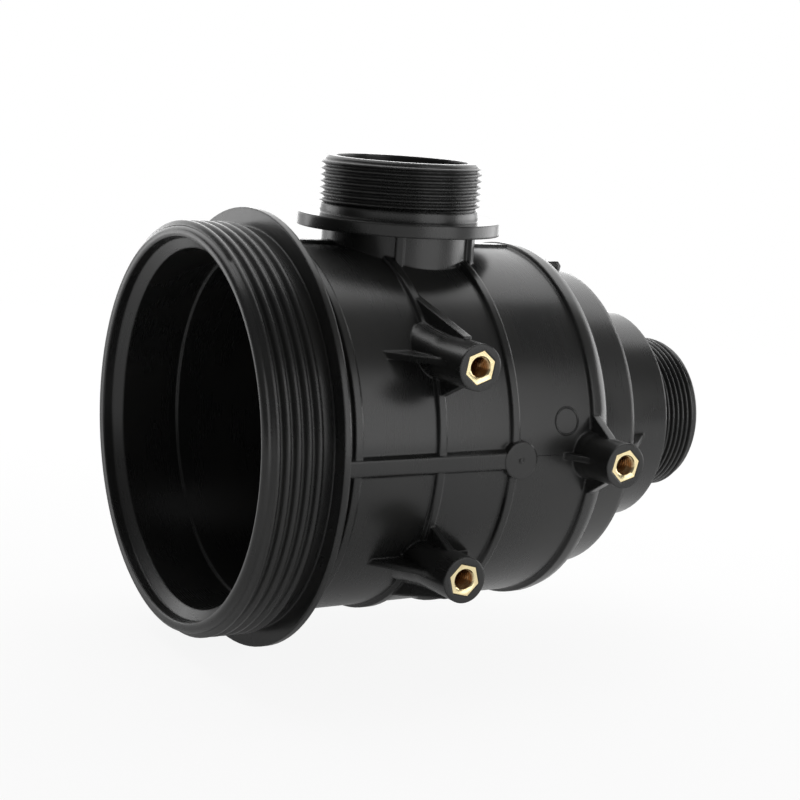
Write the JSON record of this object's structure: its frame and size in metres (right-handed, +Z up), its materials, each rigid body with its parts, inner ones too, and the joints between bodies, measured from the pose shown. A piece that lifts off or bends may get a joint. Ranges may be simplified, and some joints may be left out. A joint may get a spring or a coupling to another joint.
{
  "type": "suction filter housing",
  "caption": "In-line suction filter body: open threaded mouth for a cover, stepped tail with threaded outlet, threaded inlet on top, side bosses with brass hex inserts.",
  "frame": {"origin": "crossing of the barrel's axis and the inlet port's axis, at the middle of the strainer chamber", "axes": "+X along the barrel towards the outlet, so the open mouth faces -X; +Z up along the inlet port; the fastening bosses face -Y"},
  "size_m": [0.2158, 0.1649, 0.1774],
  "materials": {
    "black_moulding": "satin, glass-filled polypropylene",
    "insert_brass": "machined, dull"
  },
  "bodies": {
    "root": {"housing_body": "black_moulding", "insert_upper": "insert_brass", "insert_lower": "insert_brass", "insert_rear": "insert_brass"}
  },
  "joints": []
}
